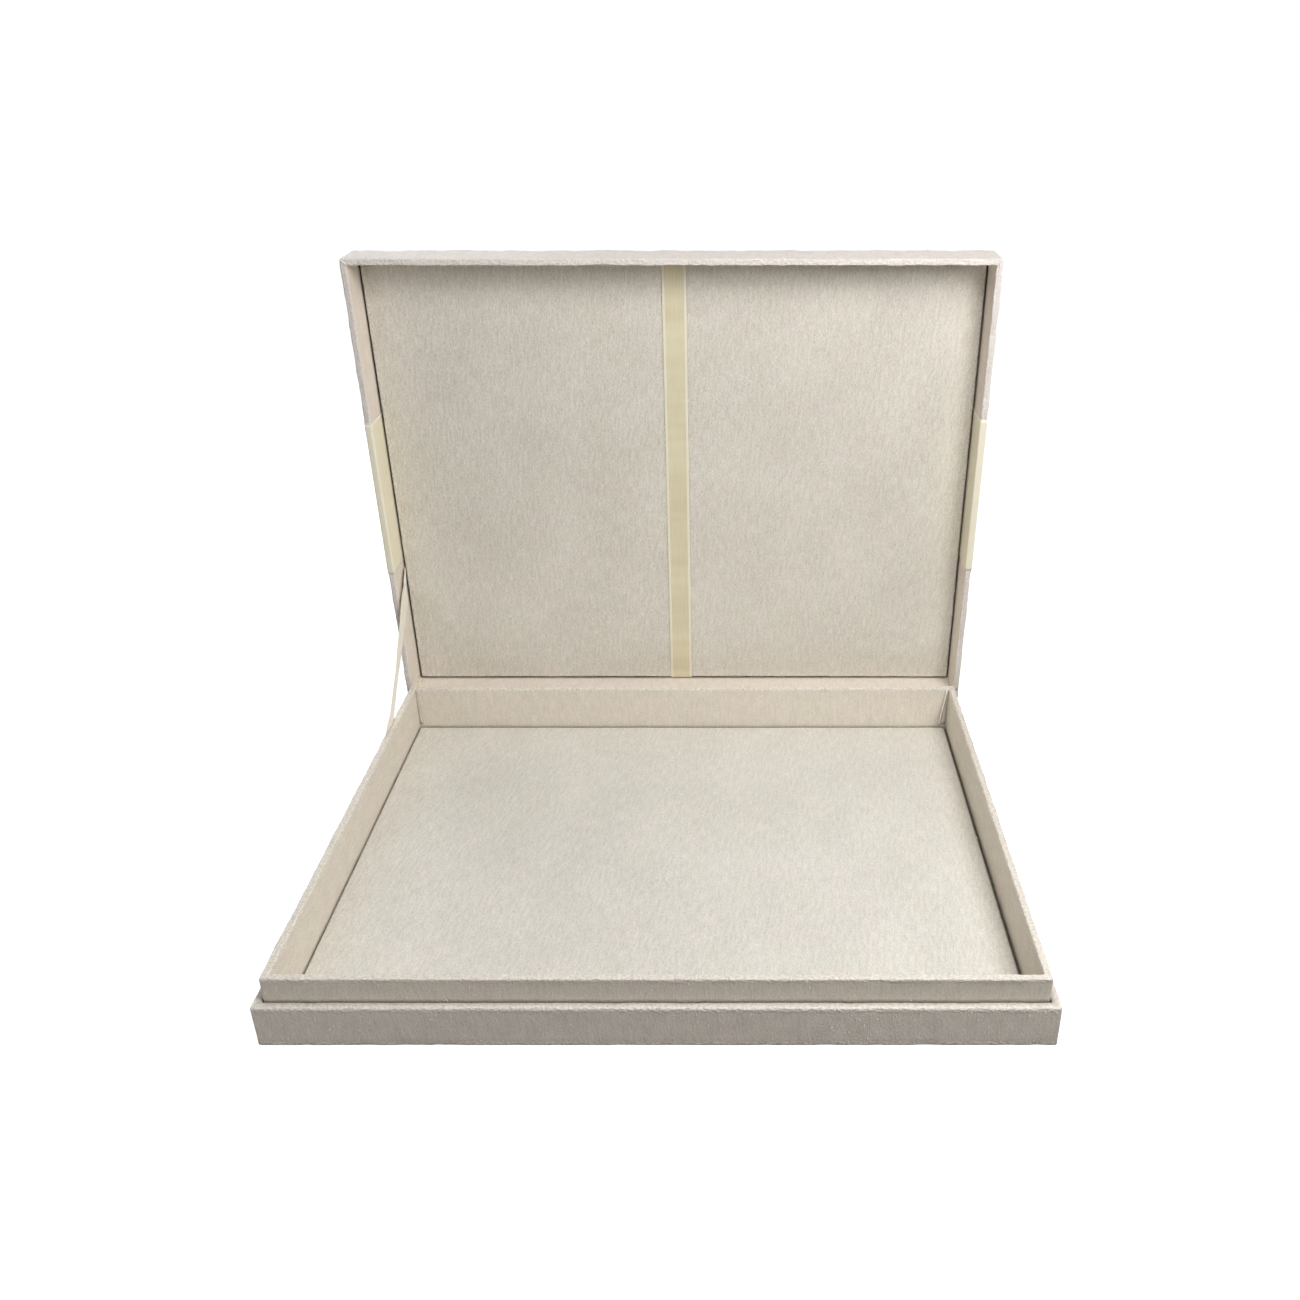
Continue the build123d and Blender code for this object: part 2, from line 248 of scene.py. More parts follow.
def pressed_fibre(name, pale, deep, speck, speck_share, grain_mm, roughness):
    """Board, card or paper: fibres pressed flat. It is matt, faintly cloudy and holds darker specks."""
    material, tree = start_material(name)
    place = add(tree, "ShaderNodeTexCoord").outputs["Object"]
    clouds = add(tree, "ShaderNodeTexNoise", {"Vector": place, "Scale": 1 / (grain_mm * 6 * MM), "Detail": 3.0})
    fibres = add(tree, "ShaderNodeTexNoise", {"Vector": place, "Scale": 1 / (grain_mm * MM), "Detail": 2.0})
    bits = add(tree, "ShaderNodeTexVoronoi", {"Vector": place, "Scale": 1 / (grain_mm * 2.5 * MM)})
    shade = add(tree, MAP_RANGE, {"Value": clouds, "From Min": 0.3, "From Max": 0.7})
    body = add(tree, MIX, {0: shade, 6: srgb(deep), 7: srgb(pale)}, data_type="RGBA")
    found = add(tree, MAP_RANGE, {
        "Value": bits, "From Min": 0.02, "From Max": 0.12, "To Min": speck_share, "To Max": 0.0,
    })
    colour = add(tree, MIX, {0: found, 6: body, 7: srgb(speck)}, data_type="RGBA")
    bump = add(tree, "ShaderNodeBump", {"Height": fibres, "Strength": 0.4, "Distance": 0.06 * MM})
    shader = add(tree, "ShaderNodeBsdfPrincipled", {
        "Base Color": colour, "Roughness": roughness, "Specular IOR Level": 0.3, "Normal": bump,
    })
    return finish_material(material, shader)


BASE_PAD_LEAN, LID_PAD_LEAN = 8, -6    # of the weft on the padded panels, in degrees
# One dupioni silk in five copies. Their tones differ as painted light: the lid's cover copy is paler than the
# base's, and the collar's and the lid panel's are darker and yellower than the base's, painted shade and warm
# reflected light.
base_cover_silk = dupioni_silk("dupioni_silk_on_base_boards", "F8F1E8", "DAD2C8", 4, 0.75, 4.5, 0.35, 4.0, 0.55)
collar_cover_silk = dupioni_silk("dupioni_silk_on_collar", "F4EDE2", "D7CFC2", 2, 0.75, 5.0, 0.25, 1.4, 0.6)
lid_cover_silk = dupioni_silk("dupioni_silk_on_lid_boards", "FDF7F4", "E3DCD7", 4, 0.75, 4.5, 0.3, 1.2, 0.38)
base_pad_silk = dupioni_silk("dupioni_silk_base_panel", "F7F5EF", "D5D3CB", BASE_PAD_LEAN, 1.0, 26.0, 0.22,
                             1.2, 0.2)
lid_pad_silk = dupioni_silk("dupioni_silk_lid_panel", "F5F2EA", "D1CCC0", LID_PAD_LEAN, 1.0, 26.0, 0.22,
                            1.1, 0.65)
# The keeper and the stay are one 10 mm ribbon: the stay's copy is paler, painted light.
keeper_satin = satin_ribbon("satin_ribbon_10_mm_keeper", 10.0, "EDE5C8", "E0D7B6", 0.1)
stay_satin = satin_ribbon("satin_ribbon_10_mm_stay", 10.0, "FFFCEF", "F8F2DC", 0.8)
band_satin = satin_ribbon("satin_ribbon_70_mm", 70.0, "FCF5DC", "F3EBCE", 0.2)
greyboard = pressed_fibre("greyboard_pressed", "8E8A84", "7B776F", "5A564F", 0.6, 0.5, 0.9)
bleached_card = pressed_fibre("bleached_card_calendered", "EDEBE4", "DEDBD2", "C9C4B8", 0.3, 0.35, 0.7)
lining_paper = pressed_fibre("lining_paper_uncoated", "EFECE4", "E1DDD2", "CFC9BC", 0.25, 0.4, 0.85)
slub_yarn = pressed_fibre("silk_slub_yarn", "FFFDF8", "F3EFE6", "FFFFFF", 0.2, 0.3, 0.5)
selvedge_satin = pressed_fibre("satin_selvedge_woven", "FBF6E2", "EDE4C6", "FFFDF2", 0.2, 0.3, 0.5)
dried_glue = pressed_fibre("animal_glue_dried", "F6EDCB", "E2D5A8", "FFF8DC", 0.3, 0.4, 0.35)
wadding_fibre = pressed_fibre("polyester_wadding_carded", "F6F6F4", "E6E6E3", "FFFFFF", 0.4, 0.8, 0.95)


# ---- Meshes ----

def finish_piece(name, mesh, body):
    """Puts a finished mesh in the scene. It rides on a body, unless that is None."""
    piece = add_object(name, mesh)
    if body:
        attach(piece, body)
    return piece


def make_piece(name, maker, material, body, place=None):
    """Turns a bmesh in millimetres into a finished piece."""
    maker.transform(place or PLACES[body])
    maker.transform(Matrix.Scale(MM, 4))
    bmesh.ops.remove_doubles(maker, verts=maker.verts, dist=2e-7)
    bmesh.ops.dissolve_degenerate(maker, dist=1e-7, edges=maker.edges)
    bmesh.ops.recalc_face_normals(maker, faces=maker.faces)
    for face in maker.faces:
        face.smooth = True
    mesh = bpy.data.meshes.new(name)
    maker.to_mesh(mesh)
    maker.free()
    mesh.materials.append(material)
    return finish_piece(name, mesh, body)


def rounded(before, here, after, cut, steps):
    """Points on the curve that takes off a corner, from cut before it to cut after it."""
    back, ahead = (before - here).normalized(), (after - here).normalized()
    shares = [k / steps for k in range(steps + 1)]
    return [(here + back * cut * (1 - t)).lerp(here + ahead * cut * t, t) for t in shares]


ON_ARRIS, ON_FLAT = 1.0, 0.2    # how freely glued cloth lies


def section(corners, closed=False):
    """A cloth section: (inset, height, radius) corners become (point, edge) rows, closer near a corner.

    edge says how freely the cloth lies. It is ON_ARRIS on a rounded arris and falls to ON_FLAT beside it.
    """
    fade_mm, crowded_mm, widest_mm, least_mm = 1.5, (0.5, 1.4, 3.0), 4, 0.3
    rows = []
    count = len(corners)
    for i, (inset, height, radius) in enumerate(corners):
        here = Vector((inset, height))
        if radius == 0 or (not closed and i in (0, count - 1)):
            rows.append((here, ON_FLAT))
            continue
        before, after = Vector(corners[i - 1][:2]), Vector(corners[(i + 1) % count][:2])
        rows += [(point, ON_ARRIS) for point in rounded(before, here, after, radius, 4)]
    full = []
    for i, (point, edge) in enumerate(rows):
        full.append((point, edge))
        if i == len(rows) - 1 and not closed:
            break
        target, far_edge = rows[(i + 1) % len(rows)]
        run = (target - point).length
        stops = {s for s in crowded_mm if s < run * 0.45}
        stops |= {run - s for s in stops}
        if run > 7:
            parts = ceil(run / widest_mm)
            stops |= {run * k / parts for k in range(1, parts)}
        last = 0.0
        for stop in sorted(stops):
            if stop - last > least_mm:
                near = min(stop if edge == ON_ARRIS else run, run - stop if far_edge == ON_ARRIS else run)
                full.append((point.lerp(target, stop / run), max(ON_FLAT, 1 - near / fade_mm)))
                last = stop
    return full


def spread(count, crowd=0.35):
    """Shares 0..1 along a side, closer together near its ends."""
    return [(1 - crowd) * i / count + crowd * (1 - cos(pi * i / count)) / 2 for i in range(count + 1)]


def uneven(point, size, seed):
    """Smooth noise of about -1..1, with lumps of a given size in millimetres."""
    return max(-1.0, min(1.0, 1.7 * noise.noise(point / size + Vector((seed, seed * 1.7, seed * 0.6)))))


RUB_AND_HIGHLIGHT_FROM = 0.35  # cloth that lies more freely than this gets rubbed, paler yarn, partly a painted highlight
BILLOW_FADE = 14    # from a padded panel's edge to where its face rises and falls freely


def wave(x, y):
    """How the padding rises and falls over a panel, about -1..1. A ribbon laid over it follows."""
    return uneven(Vector((x, y, 0)), 38.0, 60.0)


def wrap(rows, round_mm, lumps, seed, panels=False, step=2.2, pull=0.0, press=None, billow=None, dip=0.16,
         proud=0.34, **marks):
    """Cloth round the box's rectangle, its corners rounded by round_mm, as a closed thin skin.

    Lumps move the skin in and out at the arrises, by dip and proud at most, and less on the flats. With panels,
    the first and last rows are filled across. pull draws the middle of each side in. press says how far the
    outer skin is moved at a point, where another piece is glued over it. billow is how far a padded face rises
    and falls, its seat's height and its edge's inset. Each mark is an attribute and its function of inset and
    height, for painted shade and painted warm reflected light.
    """
    mesh = bmesh.new()
    uv = mesh.loops.layers.uv.new("cloth")
    arris = mesh.verts.layers.float.new("arris")
    marks = [(mesh.verts.layers.float.new(name), mark) for name, mark in marks.items()]
    along_x = spread(round(2 * HALF_X / step))
    along_y = spread(round(2 * HALF_Y / step))
    arc = [radians(a) for a in (22.5, 45, 67.5)]
    # sides run front, right, rear, left; each station is (side, share along it or None, arc angle)
    stations = []
    for side in range(4):
        stations += [(side, t, None) for t in (along_x if side % 2 == 0 else along_y)]
        stations += [(side, None, a) for a in arc]
    count = len(rows)
    turn = [Matrix.Rotation(radians(90 * side), 2) for side in range(4)]
    normals, reach = [], [-rows[0][0].x]
    for j, (point, _) in enumerate(rows):
        before = rows[j - 1][0] if j or not panels else point
        after = rows[(j + 1) % count][0] if j + 1 < count or not panels else point
        way = (after - before).normalized()
        normals.append(Vector((-way.y, way.x)))
        if j:
            reach.append(reach[-1] + (point - rows[j - 1][0]).length)
    reach.append(reach[-1] + (rows[0][0] - rows[-1][0]).length)

    def rise(place, inset):
        """How far the padding lifts or drops its face here, away from its seat and its edge."""
        if not billow or abs(place.z - billow[1]) < 1.0:
            return 0.0
        return billow[0] * wave(place.x, place.y) * min(1.0, max(0.0, inset - billow[2]) / BILLOW_FADE)

    def plan(station, inset, radius):
        """A station's place seen from above."""
        side, share, angle = station
        half_x, half_y = (HALF_X, HALF_Y) if side % 2 == 0 else (HALF_Y, HALF_X)
        x, y = half_x - inset - radius, -(half_y - inset - radius)
        if angle is None:
            flat = Vector((x * (2 * share - 1), y - radius))
        else:
            flat = Vector((x + radius * sin(angle), y - radius * cos(angle)))
        return turn[side] @ flat

    rings = []
    for j, (point, edge) in enumerate(rows):
        corner = 0.0 if panels and j in (0, count - 1) else round_mm
        ring = []
        for station in stations:
            flat = plan(station, point.x, corner)
            place = Vector((flat.x, flat.y, point.y))
            loose = lumps * edge * (0.55 * uneven(place, 8.5, seed) + 0.45 * uneven(place, 3.0, seed + 9) + 0.15)
            loose = max(-dip, min(proud, loose))
            if press and point.x < 0.2 and press(place):
                loose = press(place)
            inset = point.x + normals[j].x * loose
            if pull and corner and station[1] is not None:
                inset += pull * 4 * station[1] * (1 - station[1])
            flat = plan(station, inset, corner)
            spot = mesh.verts.new((flat.x, flat.y, point.y + normals[j].y * loose + rise(place, point.x)))
            spot[arris] = edge if edge > RUB_AND_HIGHLIGHT_FROM else 0.0
            for layer, mark in marks:
                spot[layer] = mark(point.x, point.y)
            ring.append(spot)
        rings.append(ring)

    def cloth_at(side, place, distance):
        """Where a point lies on the cloth: along the side, and by its distance along the section."""
        flat = turn[side].inverted() @ Vector((place.x, place.y))
        half = HALF_Y if side % 2 == 0 else HALF_X
        return (turn[side] @ Vector((flat.x, -(half + distance)))) * MM

    for j in range(count - 1 if panels else count):
        upper, lower = rings[j], rings[(j + 1) % count]
        for i in range(len(stations)):
            k = (i + 1) % len(stations)
            side, _, angle = stations[i]
            if angle is not None and angle > arc[0]:
                side = (side + 1) % 4
            face = mesh.faces.new((upper[i], upper[k], lower[k], lower[i]))
            for loop, distance in zip(face.loops, (reach[j], reach[j], reach[j + 1], reach[j + 1])):
                loop[uv].uv = cloth_at(side, loop.vert.co, distance)
    for ring, j in ((rings[0], 0), (rings[-1], count - 1)) if panels else ():
        nx, ny = len(along_x), len(along_y)
        starts = [next(i for i, s in enumerate(stations) if s[0] == side) for side in range(4)]
        grid = {}
        for i in range(nx):
            grid[i, 0] = ring[starts[0] + i]
            grid[nx - 1 - i, ny - 1] = ring[starts[2] + i]
        for i in range(ny):
            grid[nx - 1, i] = ring[starts[1] + i]
            grid[0, ny - 1 - i] = ring[starts[3] + i]
        point, edge = rows[j]
        x, y = HALF_X - point.x, HALF_Y - point.x
        for i in range(1, nx - 1):
            for k in range(1, ny - 1):
                place = Vector((x * (2 * along_x[i] - 1), y * (2 * along_y[k] - 1), point.y))
                loose = lumps * edge * (0.7 * uneven(place, 8.5, seed) + 0.3 * uneven(place, 3.2, seed + 9))
                inset = min(HALF_X - abs(place.x), HALF_Y - abs(place.y))
                place.z += normals[j].y * loose + rise(place, inset)
                grid[i, k] = mesh.verts.new(place)
        for i in range(nx - 1):
            for k in range(ny - 1):
                face = mesh.faces.new((grid[i, k], grid[i + 1, k], grid[i + 1, k + 1], grid[i, k + 1]))
                for loop in face.loops:
                    loop[uv].uv = loop.vert.co.xy * MM
    return mesh


def strip(path, width, thickness, bead=0.0, columns=12):
    """A closed flat ribbon. path holds (middle, outward normal, width way) along its length.

    bead is how much thicker it is just inside its edges. It is marked as an arris where it bends sharply, for a
    painted highlight there.
    """
    mesh = bmesh.new()
    uv = mesh.loops.layers.uv.new("cloth")
    arris = mesh.verts.layers.float.new("arris")
    shares = [0, 0.02, 0.06, 0.1] + [0.1 + 0.8 * i / columns for i in range(1, columns)] + [0.9, 0.94, 0.98, 1]
    tops, bottoms, reach = [], [], [0.0]
    for i, (middle, normal, side) in enumerate(path):
        if i:
            reach.append(reach[-1] + (middle - path[i - 1][0]).length)
        line = []
        for share in shares:
            proud = bead if share in (0.02, 0.98, 0.06, 0.94) else 0.0
            thin = 0.25 if share in (0, 1) else 0.5
            base = middle + side * width * (share - 0.5)
            line.append((base + normal * (thickness * thin + proud), base - normal * thickness * thin))
        tops.append([mesh.verts.new(top) for top, _ in line])
        bottoms.append([mesh.verts.new(bottom) for _, bottom in line])
        bend = path[max(i - 1, 0)][1].angle(path[min(i + 1, len(path) - 1)][1])
        for spot in tops[-1] + bottoms[-1]:
            spot[arris] = min(1.0, max(0.0, bend / 0.4 - 0.25))

    def fill(*corners):
        """A face through corners, each by its side of the ribbon, its place along it and across it."""
        face = mesh.faces.new([side[i][j] for side, i, j in corners])
        for loop, (_, i, j) in zip(face.loops, corners):
            loop[uv].uv = Vector((reach[i], shares[j] * width)) * MM

    last, ends = len(shares) - 1, len(path) - 1
    for i in range(ends):
        for j in range(last):
            fill((tops, i, j), (tops, i + 1, j), (tops, i + 1, j + 1), (tops, i, j + 1))
            fill((bottoms, i, j + 1), (bottoms, i + 1, j + 1), (bottoms, i + 1, j), (bottoms, i, j))
        for j, a, b in ((0, bottoms, tops), (last, tops, bottoms)):
            fill((a, i, j), (a, i + 1, j), (b, i + 1, j), (b, i, j))
    for i in (0, ends):
        for j in range(last):
            fill((tops, i, j), (tops, i, j + 1), (bottoms, i, j + 1), (bottoms, i, j))
    return mesh


def route(corners, radius, step):
    """A flat line through corners, rounded at each, as (point, left-hand normal) every step or so."""
    corners = [Vector(corner) for corner in corners]
    points = corners[:1]
    for before, here, after in zip(corners, corners[1:], corners[2:]):
        turn = pi - (before - here).angle(after - here)
        cut = min(radius * tan(turn / 2), 0.45 * (before - here).length)
        points += rounded(before, here, after, cut, 5)
    points.append(corners[-1])
    fine = [points[0]]
    for a, b in zip(points, points[1:]):
        parts = max(1, ceil((b - a).length / step))
        fine += [a.lerp(b, k / parts) for k in range(1, parts + 1)]
    out = []
    for i, point in enumerate(fine):
        way = (fine[min(i + 1, len(fine) - 1)] - fine[max(i - 1, 0)]).normalized()
        out.append((point, Vector((-way.y, way.x))))
    return out


# ---- Silk over the boards ----

HINGE_CLOTH = 261.0, 0.3    # length and thickness


def under_hinge_cloth(way):
    """The covers' backs are pressed in where the hinge cloth is let in. way is the sign that points inwards."""
    half_length, depth = HINGE_CLOTH[0] / 2 - 0.1, HINGE_CLOTH[1]

    def pressed(place):
        inside = abs(place.x) < half_length and place.y > HALF_Y - 0.6
        return way * depth if inside and 1.9 < place.z < 17.8 else 0.0
    return pressed


def ledge_foot_shade(inset, height):
    """Painted shade: the ledge is darker towards the foot of the collar, where the collar shades it."""
    return min(0.42, max(0.0, inset - 0.5) * 0.22) if height > LEDGE - 0.8 and inset > 0.5 else 0.0


def lid_inside(inset, height):
    """The inner faces of the lid's walls, above the rubbed rim, where warm reflected light is painted."""
    return 1.0 if inset > LID_WALL - 0.05 and height > LID_RIM + 0.9 else 0.0


base_rows = section([
    (15.0, 0.25, 0), (0, 0.25, 0.5), (0, LEDGE, 0.9), (2.85, LEDGE, 0.7), (2.85, FLOOR_TOP, 0),
    (2.75, FLOOR_TOP, 0), (2.75, LEDGE - SILK, 0), (SILK, LEDGE - SILK, 0), (SILK, 0.6, 0), (15.0, 0.6, 0),
], closed=True)
base_wrap = wrap(base_rows, 0.7, 0.3, 3.0, press=under_hinge_cloth(-1), proud=0.05, tucked=ledge_foot_shade)
base_cover = make_piece("base_silk", base_wrap, base_cover_silk, "base")
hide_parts("base_silk_cover")

collar_low, collar_silk_in = 9.5, 3.6    # where its turned-down silk ends, and that silk's inner side
collar_rows = section([
    (COLLAR_OUT, collar_low, 0), (COLLAR_OUT, COLLAR_TOP, 0.5), (CAVITY, COLLAR_TOP, 0.6), (CAVITY, FLOOR_TOP, 0),
    (CAVITY - SILK, FLOOR_TOP, 0), (CAVITY - SILK, COLLAR_TOP - SILK, 0),
    (collar_silk_in, COLLAR_TOP - SILK, 0), (collar_silk_in, collar_low, 0),
], closed=True)
collar = make_piece("collar_silk_wrap", wrap(collar_rows, 0.6, 0.32, 11.0, dip=0.05), collar_cover_silk, "base")
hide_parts("collar_silk")

lid_rows = section([
    (3.0, LID_TOP, 0), (0, LID_TOP, 0.55), (0, LID_RIM, 0.55), (LID_WALL, LID_RIM, 0.5), (LID_WALL, LID_UNDER, 0),
    (LID_WALL - SILK, LID_UNDER, 0), (LID_WALL - SILK, LID_RIM + SILK, 0), (SILK, LID_RIM + SILK, 0),
    (SILK, LID_TOP - SILK, 0), (3.0, LID_TOP - SILK, 0),
])
lid_wrap = wrap(lid_rows, 0.8, 0.36, 21.0, panels=True, press=under_hinge_cloth(1), pasted=lid_inside)
lid_cover = make_piece("lid_silk", lid_wrap, lid_cover_silk, "lid")
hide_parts("lid_silk_cover")


# ---- Padded panels ----

BASE_PAD_EDGE, LID_PAD_EDGE = 6.7, 3.3    # from the outside of the box
CROWN_WIDTH = 15.0                         # from a panel's edge to its flat middle
CROWN_CURVE = 2.2                          # how late the face drops towards the edge
BASE_SHOULDER, LID_SHOULDER = 2.1, 1.6     # a panel's height at its edge
BASE_CROWN, LID_CROWN = 1.1, 0.9           # and how much higher its middle is
PAD_ARRIS, PAD_TURN_IN = 0.9, 12
WADDING_BACK = 0.7                         # wadding's edge, back from the silk's
WADDING_SEAT = 1.16                        # turned-in silk and card below it


def swell(edge_inset, face, way, crown, crown_width, steps):
    """(inset, height) points from a padded face's flat middle nearly out to its edge."""
    return [Vector((edge_inset + crown_width * (1 - k / steps), face - way * crown * (k / steps) ** CROWN_CURVE))
            for k in range(steps)]


def pad_rows(edge_inset, way, seat, shoulder, crown):
    """The panel's silk, from its crowned face round the edge and under its card, and back inside."""
    low = seat + way * shoulder
    face = swell(edge_inset, low + way * crown, way, crown, CROWN_WIDTH, 6)
    outer = [(point, 0.3) for point in face]
    for degrees in range(15, 91, 15):
        a = radians(degrees)
        bend = Vector((edge_inset + PAD_ARRIS * (1 - sin(a)), low - way * PAD_ARRIS * (1 - cos(a))))
        outer.append((bend, 0.8))
    outer += [(Vector((edge_inset, low - way * (shoulder - PAD_ARRIS) * k / 3)), 0.3) for k in (1, 2)]
    outer += [(Vector((edge_inset, seat)), 0.3), (Vector((edge_inset + PAD_TURN_IN, seat)), 0.2)]
    inner = [(edge_inset + PAD_TURN_IN, seat + way * SILK), (edge_inset + SILK, seat + way * SILK),
             (edge_inset + SILK, low - way * (PAD_ARRIS + SILK / 2)), (edge_inset + PAD_ARRIS, low - way * SILK)]
    inner += [(point.x, point.y - way * SILK) for point in face[::-1]]
    return outer + [(Vector(point), 0.0) for point in inner]


# the base's panel was laid a little to the left, so its gap there is only half as wide as on the right
laid_left = Matrix.Translation((-0.4, 0, 0))
base_billow, lid_billow = (0.28, FLOOR_TOP, BASE_PAD_EDGE), (0.2, LID_UNDER, LID_PAD_EDGE)
base_pad_skin = wrap(pad_rows(BASE_PAD_EDGE, 1, FLOOR_TOP, BASE_SHOULDER, BASE_CROWN), 0.9, 0.2, 31.0,
                     panels=True, step=3.0, pull=0.12, billow=base_billow)
base_pad = make_piece("base_pad", base_pad_skin, base_pad_silk, "base", laid_left)
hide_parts("base_pad_silk")
lid_pad_skin = wrap(pad_rows(LID_PAD_EDGE, -1, LID_UNDER, LID_SHOULDER, LID_CROWN), 0.9, 0.2, 41.0,
                    panels=True, step=3.0, pull=0.15, billow=lid_billow)
lid_pad = make_piece("lid_pad", lid_pad_skin, lid_pad_silk, "lid")
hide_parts("lid_pad_silk")


def wadding_rows(pad_edge, way, seat, shoulder, crown):
    """Wadding under the silk: flat on the card, and sloped off to its edges."""
    edge_inset, crown_width = pad_edge + WADDING_BACK, CROWN_WIDTH - WADDING_BACK
    low = seat + way * shoulder
    face = swell(edge_inset, low + way * crown, way, crown, crown_width, 4) + [Vector((edge_inset, low))]
    under = [Vector((edge_inset, seat)), Vector((edge_inset + crown_width, seat))]
    return [(point, 0.5) for point in face] + [(point, 0.0) for point in under]


base_card_top, lid_card_top = FLOOR_TOP + WADDING_SEAT, LID_UNDER - WADDING_SEAT
base_batt = wrap(wadding_rows(BASE_PAD_EDGE, 1, base_card_top, 0.4, BASE_CROWN), 0.5, 0.0, 33.0,
                 panels=True, step=4.0, billow=(base_billow[0], base_card_top, BASE_PAD_EDGE))
base_wadding = make_piece("base_wadding", base_batt, wadding_fibre, "base", laid_left)
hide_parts("base_pad_wadding")
lid_batt = wrap(wadding_rows(LID_PAD_EDGE, -1, lid_card_top, 0.1, 0.75), 0.5, 0.0, 43.0,
                panels=True, step=4.0, billow=lid_billow)
lid_wadding = make_piece("lid_wadding", lid_batt, wadding_fibre, "lid")
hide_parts("lid_pad_wadding")


# ---- Ribbons ----

# keeper: over the lid's pad from the front to the hinge side, both ends tucked beside the pad
NARROW, WIDE, WOVEN = 10.0, 70.0, 0.22    # the ribbons' widths, and their thickness without selvedges
pad_face = LID_UNDER - LID_SHOULDER - LID_CROWN
pad_edge = HALF_Y - LID_PAD_EDGE
keeper_end, keeper_bend, keeper_sink = pad_edge + 0.2, pad_face + 1.2, 0.14
climb = [(d, pad_face + LID_CROWN * (1 - d / CROWN_WIDTH) ** CROWN_CURVE - keeper_sink)
         for d in (PAD_ARRIS, 3.0, 6.0, 10.0, CROWN_WIDTH)]
keeper_line = route(
    [(-keeper_end, LID_UNDER), (-keeper_end, keeper_bend)]
    + [(-pad_edge + d, z) for d, z in climb] + [(pad_edge - d, z) for d, z in climb[::-1]]
    + [(keeper_end, keeper_bend), (keeper_end, LID_UNDER)], 0.7, 2.5)
keeper_path = []
for point, normal in keeper_line:
    # it leans a little: its middle is further left at the hinge than at the front
    slant = -0.6 - 0.62 * point.x / 92
    away = min(1.0, max(0.0, pad_edge - abs(point.x)) / BILLOW_FADE)
    lift = lid_billow[0] * away * wave(slant, point.x) - 0.06 - 0.05 * uneven(Y_WAY * point.x, 14, 51)
    keeper_path.append((Vector((slant, point.x, point.y + lift)), Vector((0, -normal.x, -normal.y)), X_WAY))
keeper = make_piece("keeper_satin", strip(keeper_path, NARROW, WOVEN, 0.04), keeper_satin, "lid")
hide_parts("keeper_ribbon")

# band: across the lid's outer top, down both sides, round the rims and up inside
side_out, side_in = HALF_X + RIBBON / 2, HALF_X - LID_WALL - RIBBON / 2
rim, top = LID_RIM - RIBBON / 2, LID_TOP + RIBBON / 2
band_line = route([
    (-side_in, LID_UNDER), (-side_in, rim), (-side_out, rim), (-side_out, top),
    (side_out, top), (side_out, rim), (side_in, rim), (side_in, LID_UNDER),
], 0.65, 3.0)
band_path = []
for point, normal in band_line:
    from_hinge = 101.2 + 2.0 * (point.x + HALF_X) / (2 * HALF_X)
    middle = Vector((point.x, HALF_Y - from_hinge, point.y))
    band_path.append((middle, Vector((normal.x, 0, normal.y)), Y_WAY))
band = make_piece("band_satin", strip(band_path, WIDE, WOVEN, 0.03, 24), band_satin, "lid")
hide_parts("band_ribbon")


def lid_point(x, out, up):
    """A point of the open lid, from its distances from the hinge line and from the rim's plane."""
    return AT_LID @ Vector((x, HALF_Y - out, up))


def eased(keys, t):
    """A value between its (share, value) keys, with soft starts and stops."""
    for (a, low), (b, high) in zip(keys, keys[1:]):
        if t <= b:
            u = (t - a) / (b - a)
            return low + (high - low) * u * u * (3 - 2 * u)
    return keys[-1][1]


# stay: from between collar and base wall, up to the slot beside the lid's pad. It is drawn tight, turns its
# face as it goes, and has a crease where it was folded shut.
stay_x, stay_steps, stay_width = -128.95, 80, 9.6
low_end, high_end = Vector((stay_x, 51.0, LEDGE - 0.2)), lid_point(stay_x, 60.0, 16.6)
run = high_end - low_end
way = run.normalized()
twist = ((0, -3), (0.13, -1), (0.22, 8), (0.42, 9), (0.6, 5), (0.85, 0), (0.9, 6.5), (1, 11))  # degrees
aside = ((0, 0.3), (0.2, 0.8), (0.5, 1.0), (0.87, 0.9), (0.95, 0.2), (1, -0.1))                # mm
stay_path = []
for k in range(stay_steps + 1):
    t = k / stay_steps
    flat = Matrix.Rotation(radians(eased(twist, t)), 3, way) @ way.cross(X_WAY)
    stay_path.append((low_end + run * t + X_WAY * eased(aside, t), way.cross(flat).normalized(), flat))
stay = make_piece("stay_satin", strip(stay_path, stay_width, 0.2, 0.03), stay_satin, None)
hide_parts("stay_ribbon")
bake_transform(stay)

# hinge cloth: down the back of both halves, its fold on the hinge line
cloth_low, cloth_high, cloth_depth = 1.75, 17.9, 0.15
lid_back = lid_point(0, 0, 0) - lid_point(0, 1, 0)
fold_out = (Y_WAY + lid_back).normalized()
cloth_line = [(Vector((0, HALF_Y - cloth_depth, cloth_low + (LEDGE - cloth_low) * k / 12)), Y_WAY)
              for k in range(12)]
cloth_line.append((HINGE_LINE - fold_out * 0.2, fold_out))
cloth_line += [(lid_point(0, cloth_depth, cloth_high * k / 14), lid_back) for k in range(1, 15)]
hinge = make_piece("hinge_silk", strip([(middle, normal, X_WAY) for middle, normal in cloth_line],
                                       *HINGE_CLOTH, columns=90), lid_cover_silk, None)
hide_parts("hinge_cloth")
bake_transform(hinge)


# ---- Pieces grown by geometry nodes ----

def start_tree(name, inputs):
    """A geometry node tree with named inputs; gives it, its input node and a way to end it."""
    tree = bpy.data.node_groups.new(name, "GeometryNodeTree")
    tree.interface.new_socket("Geometry", in_out="INPUT", socket_type="NodeSocketGeometry")
    for label, kind in inputs:
        tree.interface.new_socket(label, in_out="INPUT", socket_type="NodeSocket" + kind)
    tree.interface.new_socket("Geometry", in_out="OUTPUT", socket_type="NodeSocketGeometry")
    return tree, add(tree, "NodeGroupInput").outputs


